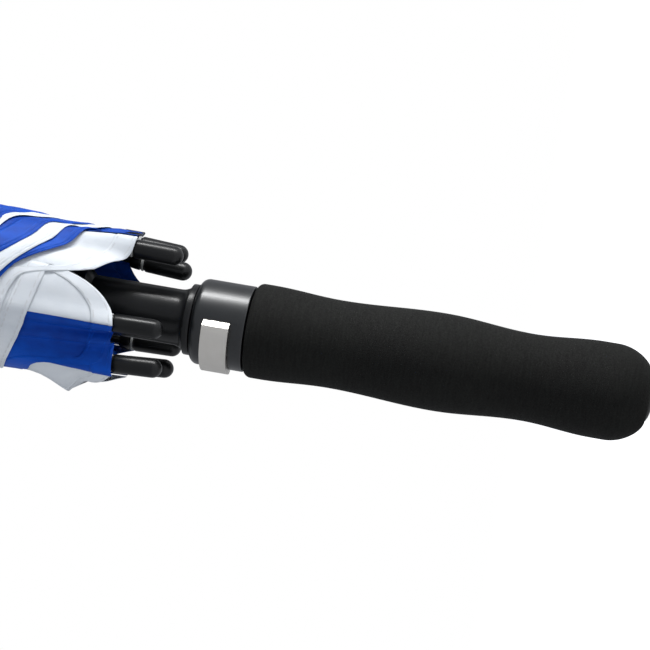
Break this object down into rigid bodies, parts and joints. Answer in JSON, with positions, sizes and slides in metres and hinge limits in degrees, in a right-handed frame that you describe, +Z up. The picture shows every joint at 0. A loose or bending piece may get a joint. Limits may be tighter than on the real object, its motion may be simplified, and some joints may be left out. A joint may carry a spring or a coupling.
{
  "type": "golf umbrella",
  "caption": "Furled automatic golf umbrella with blue and white gores, a foam grip, a release button, hinged ribs, stretchers, a runner and a sprung slider.",
  "frame": {"origin": "centre of the flat butt face at the end of the grip", "axes": "+Z up the shaft towards the ferrule; -Y is the front, with the release button to its left"},
  "size_m": [0.0792, 0.0792, 1.02],
  "materials": {
    "grip_foam": "matte closed-cell foam",
    "black_plastic": "semi-gloss moulded",
    "collar_satin": "satin gunmetal",
    "button_silver": "satin",
    "steel": "plated",
    "black_fibreglass": "smooth painted",
    "cloth_blue": "woven polyester",
    "cloth_white": "woven polyester"
  },
  "bodies": {
    "grip_and_shaft": {"shaft_tube": "black_fibreglass", "foam_grip": "grip_foam", "handle_core": "collar_satin", "handle_pin": "steel", "butt_plug": "black_plastic", "button_spring": "steel", "crown_head": "black_plastic", "crown_wire": "steel", "crown_cap": "black_plastic", "ferrule": "black_plastic"},
    "button": {"release_button": "button_silver", "latch_plate": "collar_satin"},
    "runner": {"runner": "black_plastic", "runner_wire": "steel", "opening_spring": "steel"},
    "slider": {"slider": "black_plastic", "slider_wire": "steel"},
    "rib_1": {"rib_1": "black_fibreglass", "rib_tip_1": "black_plastic", "tie_strap": "cloth_blue"},
    "stretcher_1": {"stretcher_1": "black_fibreglass"},
    "strut_1": {"strut_1": "steel"},
    "panel_1": {"canopy_panel_1": "cloth_white"},
    "rib_2": {"rib_2": "black_fibreglass", "rib_tip_2": "black_plastic"},
    "stretcher_2": {"stretcher_2": "black_fibreglass"},
    "strut_2": {"strut_2": "steel"},
    "panel_2": {"canopy_panel_2": "cloth_blue"},
    "rib_3": {"rib_3": "black_fibreglass", "rib_tip_3": "black_plastic"},
    "stretcher_3": {"stretcher_3": "black_fibreglass"},
    "strut_3": {"strut_3": "steel"},
    "panel_3": {"canopy_panel_3": "cloth_white"},
    "rib_4": {"rib_4": "black_fibreglass", "rib_tip_4": "black_plastic"},
    "stretcher_4": {"stretcher_4": "black_fibreglass"},
    "strut_4": {"strut_4": "steel"},
    "panel_4": {"canopy_panel_4": "cloth_blue"},
    "rib_5": {"rib_5": "black_fibreglass", "rib_tip_5": "black_plastic"},
    "stretcher_5": {"stretcher_5": "black_fibreglass"},
    "strut_5": {"strut_5": "steel"},
    "panel_5": {"canopy_panel_5": "cloth_white"},
    "rib_6": {"rib_6": "black_fibreglass", "rib_tip_6": "black_plastic"},
    "stretcher_6": {"stretcher_6": "black_fibreglass"},
    "strut_6": {"strut_6": "steel"},
    "panel_6": {"canopy_panel_6": "cloth_blue"},
    "rib_7": {"rib_7": "black_fibreglass", "rib_tip_7": "black_plastic"},
    "stretcher_7": {"stretcher_7": "black_fibreglass"},
    "strut_7": {"strut_7": "steel"},
    "panel_7": {"canopy_panel_7": "cloth_white"},
    "rib_8": {"rib_8": "black_fibreglass", "rib_tip_8": "black_plastic"},
    "stretcher_8": {"stretcher_8": "black_fibreglass"},
    "strut_8": {"strut_8": "steel"},
    "panel_8": {"canopy_panel_8": "cloth_blue"}
  },
  "joints": [
    {"name": "opening", "type": "hinge", "parent": "grip_and_shaft", "child": "rib_1", "pos_m": [-0.00278, -0.01116, 0.94797], "axis": [-0.9703, 0.2419, 0], "range_deg": [0, 66], "deforming": ["opening_spring", "canopy_panel_1", "canopy_panel_2", "canopy_panel_3", "canopy_panel_4", "canopy_panel_5", "canopy_panel_6", "canopy_panel_7", "canopy_panel_8", "tie_strap"]},
    {"name": "rib_2_hinge", "type": "hinge", "parent": "grip_and_shaft", "child": "rib_2", "pos_m": [0.00592, -0.00986, 0.94797], "axis": [-0.8572, -0.515, 0], "range_deg": [0, 66]},
    {"name": "rib_3_hinge", "type": "hinge", "parent": "grip_and_shaft", "child": "rib_3", "pos_m": [0.01116, -0.00278, 0.94797], "axis": [-0.2419, -0.9703, 0], "range_deg": [0, 66]},
    {"name": "rib_4_hinge", "type": "hinge", "parent": "grip_and_shaft", "child": "rib_4", "pos_m": [0.00986, 0.00592, 0.94797], "axis": [0.515, -0.8572, 0], "range_deg": [0, 66]},
    {"name": "rib_5_hinge", "type": "hinge", "parent": "grip_and_shaft", "child": "rib_5", "pos_m": [0.00278, 0.01116, 0.94797], "axis": [0.9703, -0.2419, 0], "range_deg": [0, 66]},
    {"name": "rib_6_hinge", "type": "hinge", "parent": "grip_and_shaft", "child": "rib_6", "pos_m": [-0.00592, 0.00986, 0.94797], "axis": [0.8572, 0.515, 0], "range_deg": [0, 66]},
    {"name": "rib_7_hinge", "type": "hinge", "parent": "grip_and_shaft", "child": "rib_7", "pos_m": [-0.01116, 0.00278, 0.94797], "axis": [0.2419, 0.9703, 0], "range_deg": [0, 66]},
    {"name": "rib_8_hinge", "type": "hinge", "parent": "grip_and_shaft", "child": "rib_8", "pos_m": [-0.00986, -0.00592, 0.94797], "axis": [-0.515, 0.8572, 0], "range_deg": [0, 66]},
    {"name": "stretcher_1_hinge", "type": "hinge", "parent": "rib_1", "child": "stretcher_1", "pos_m": [-0.00665, -0.02668, 0.59584], "axis": [-0.9703, 0.2419, 0], "range_deg": [-132, 0]},
    {"name": "stretcher_2_hinge", "type": "hinge", "parent": "rib_2", "child": "stretcher_2", "pos_m": [0.01416, -0.02357, 0.59584], "axis": [-0.8572, -0.515, 0], "range_deg": [-132, 0]},
    {"name": "stretcher_3_hinge", "type": "hinge", "parent": "rib_3", "child": "stretcher_3", "pos_m": [0.02668, -0.00665, 0.59584], "axis": [-0.2419, -0.9703, 0], "range_deg": [-132, 0]},
    {"name": "stretcher_4_hinge", "type": "hinge", "parent": "rib_4", "child": "stretcher_4", "pos_m": [0.02357, 0.01416, 0.59584], "axis": [0.515, -0.8572, 0], "range_deg": [-132, 0]},
    {"name": "stretcher_5_hinge", "type": "hinge", "parent": "rib_5", "child": "stretcher_5", "pos_m": [0.00665, 0.02668, 0.59584], "axis": [0.9703, -0.2419, 0], "range_deg": [-132, 0]},
    {"name": "stretcher_6_hinge", "type": "hinge", "parent": "rib_6", "child": "stretcher_6", "pos_m": [-0.01416, 0.02357, 0.59584], "axis": [0.8572, 0.515, 0], "range_deg": [-132, 0]},
    {"name": "stretcher_7_hinge", "type": "hinge", "parent": "rib_7", "child": "stretcher_7", "pos_m": [-0.02668, 0.00665, 0.59584], "axis": [0.2419, 0.9703, 0], "range_deg": [-132, 0]},
    {"name": "stretcher_8_hinge", "type": "hinge", "parent": "rib_8", "child": "stretcher_8", "pos_m": [-0.02357, -0.01416, 0.59584], "axis": [-0.515, 0.8572, 0], "range_deg": [-132, 0]},
    {"name": "runner_hinge", "type": "hinge", "parent": "stretcher_1", "child": "runner", "pos_m": [-0.00278, -0.01116, 0.2437], "axis": [-0.9703, 0.2419, 0], "range_deg": [0, 66]},
    {"name": "strut_1_hinge", "type": "hinge", "parent": "stretcher_1", "child": "strut_1", "pos_m": [-0.00355, -0.01424, 0.31363], "axis": [-0.9703, 0.2419, 0], "range_deg": [0, 132]},
    {"name": "strut_2_hinge", "type": "hinge", "parent": "stretcher_2", "child": "strut_2", "pos_m": [0.00756, -0.01258, 0.31363], "axis": [-0.8572, -0.515, 0], "range_deg": [0, 132]},
    {"name": "strut_3_hinge", "type": "hinge", "parent": "stretcher_3", "child": "strut_3", "pos_m": [0.01424, -0.00355, 0.31363], "axis": [-0.2419, -0.9703, 0], "range_deg": [0, 132]},
    {"name": "strut_4_hinge", "type": "hinge", "parent": "stretcher_4", "child": "strut_4", "pos_m": [0.01258, 0.00756, 0.31363], "axis": [0.515, -0.8572, 0], "range_deg": [0, 132]},
    {"name": "strut_5_hinge", "type": "hinge", "parent": "stretcher_5", "child": "strut_5", "pos_m": [0.00355, 0.01424, 0.31363], "axis": [0.9703, -0.2419, 0], "range_deg": [0, 132]},
    {"name": "strut_6_hinge", "type": "hinge", "parent": "stretcher_6", "child": "strut_6", "pos_m": [-0.00756, 0.01258, 0.31363], "axis": [0.8572, 0.515, 0], "range_deg": [0, 132]},
    {"name": "strut_7_hinge", "type": "hinge", "parent": "stretcher_7", "child": "strut_7", "pos_m": [-0.01424, 0.00355, 0.31363], "axis": [0.2419, 0.9703, 0], "range_deg": [0, 132]},
    {"name": "strut_8_hinge", "type": "hinge", "parent": "stretcher_8", "child": "strut_8", "pos_m": [-0.01258, -0.00756, 0.31363], "axis": [-0.515, 0.8572, 0], "range_deg": [0, 132]},
    {"name": "slider_hinge", "type": "hinge", "parent": "strut_1", "child": "slider", "pos_m": [-0.00278, -0.01116, 0.38356], "axis": [-0.9703, 0.2419, 0], "range_deg": [-66, 0]},
    {"name": "panel_1_unfold", "type": "hinge", "parent": "rib_1", "child": "panel_1", "pos_m": [0.00184, -0.01231, 0.94797], "axis": [0.1267, -0.8481, -0.5145], "range_deg": [0, 48.12]},
    {"name": "panel_2_unfold", "type": "hinge", "parent": "rib_2", "child": "panel_2", "pos_m": [0.01001, -0.0074, 0.94797], "axis": [0.6893, -0.5101, -0.5145], "range_deg": [0, 48.12]},
    {"name": "panel_3_unfold", "type": "hinge", "parent": "rib_3", "child": "panel_3", "pos_m": [0.01231, 0.00184, 0.94797], "axis": [0.8481, 0.1267, -0.5145], "range_deg": [0, 48.12]},
    {"name": "panel_4_unfold", "type": "hinge", "parent": "rib_4", "child": "panel_4", "pos_m": [0.0074, 0.01001, 0.94797], "axis": [0.5101, 0.6893, -0.5145], "range_deg": [0, 48.12]},
    {"name": "panel_5_unfold", "type": "hinge", "parent": "rib_5", "child": "panel_5", "pos_m": [-0.00184, 0.01231, 0.94797], "axis": [-0.1267, 0.8481, -0.5145], "range_deg": [0, 48.12]},
    {"name": "panel_6_unfold", "type": "hinge", "parent": "rib_6", "child": "panel_6", "pos_m": [-0.01001, 0.0074, 0.94797], "axis": [-0.6893, 0.5101, -0.5145], "range_deg": [0, 48.12]},
    {"name": "panel_7_unfold", "type": "hinge", "parent": "rib_7", "child": "panel_7", "pos_m": [-0.01231, -0.00184, 0.94797], "axis": [-0.8481, -0.1267, -0.5145], "range_deg": [0, 48.12]},
    {"name": "panel_8_unfold", "type": "hinge", "parent": "rib_8", "child": "panel_8", "pos_m": [-0.0074, -0.01001, 0.94797], "axis": [-0.5101, -0.6893, -0.5145], "range_deg": [0, 48.12]},
    {"name": "button_press", "type": "slide", "parent": "grip_and_shaft", "child": "button", "axis": [0.7314, 0.682, 0], "range_m": [0, 0.0022], "stiffness_N_per_m": 500, "deforming": ["button_spring"]}
  ],
  "couplings": [
    {"joint": "rib_2_hinge", "follows": "opening", "ratio": 1},
    {"joint": "rib_3_hinge", "follows": "opening", "ratio": 1},
    {"joint": "rib_4_hinge", "follows": "opening", "ratio": 1},
    {"joint": "rib_5_hinge", "follows": "opening", "ratio": 1},
    {"joint": "rib_6_hinge", "follows": "opening", "ratio": 1},
    {"joint": "rib_7_hinge", "follows": "opening", "ratio": 1},
    {"joint": "rib_8_hinge", "follows": "opening", "ratio": 1},
    {"joint": "stretcher_1_hinge", "follows": "opening", "ratio": -2},
    {"joint": "stretcher_2_hinge", "follows": "opening", "ratio": -2},
    {"joint": "stretcher_3_hinge", "follows": "opening", "ratio": -2},
    {"joint": "stretcher_4_hinge", "follows": "opening", "ratio": -2},
    {"joint": "stretcher_5_hinge", "follows": "opening", "ratio": -2},
    {"joint": "stretcher_6_hinge", "follows": "opening", "ratio": -2},
    {"joint": "stretcher_7_hinge", "follows": "opening", "ratio": -2},
    {"joint": "stretcher_8_hinge", "follows": "opening", "ratio": -2},
    {"joint": "runner_hinge", "follows": "opening", "ratio": 1},
    {"joint": "strut_1_hinge", "follows": "opening", "ratio": 2},
    {"joint": "strut_2_hinge", "follows": "opening", "ratio": 2},
    {"joint": "strut_3_hinge", "follows": "opening", "ratio": 2},
    {"joint": "strut_4_hinge", "follows": "opening", "ratio": 2},
    {"joint": "strut_5_hinge", "follows": "opening", "ratio": 2},
    {"joint": "strut_6_hinge", "follows": "opening", "ratio": 2},
    {"joint": "strut_7_hinge", "follows": "opening", "ratio": 2},
    {"joint": "strut_8_hinge", "follows": "opening", "ratio": 2},
    {"joint": "slider_hinge", "follows": "opening", "ratio": -1},
    {"joint": "panel_1_unfold", "follows": "opening", "ratio": 0.72909},
    {"joint": "panel_2_unfold", "follows": "opening", "ratio": 0.72909},
    {"joint": "panel_3_unfold", "follows": "opening", "ratio": 0.72909},
    {"joint": "panel_4_unfold", "follows": "opening", "ratio": 0.72909},
    {"joint": "panel_5_unfold", "follows": "opening", "ratio": 0.72909},
    {"joint": "panel_6_unfold", "follows": "opening", "ratio": 0.72909},
    {"joint": "panel_7_unfold", "follows": "opening", "ratio": 0.72909},
    {"joint": "panel_8_unfold", "follows": "opening", "ratio": 0.72909}
  ]
}
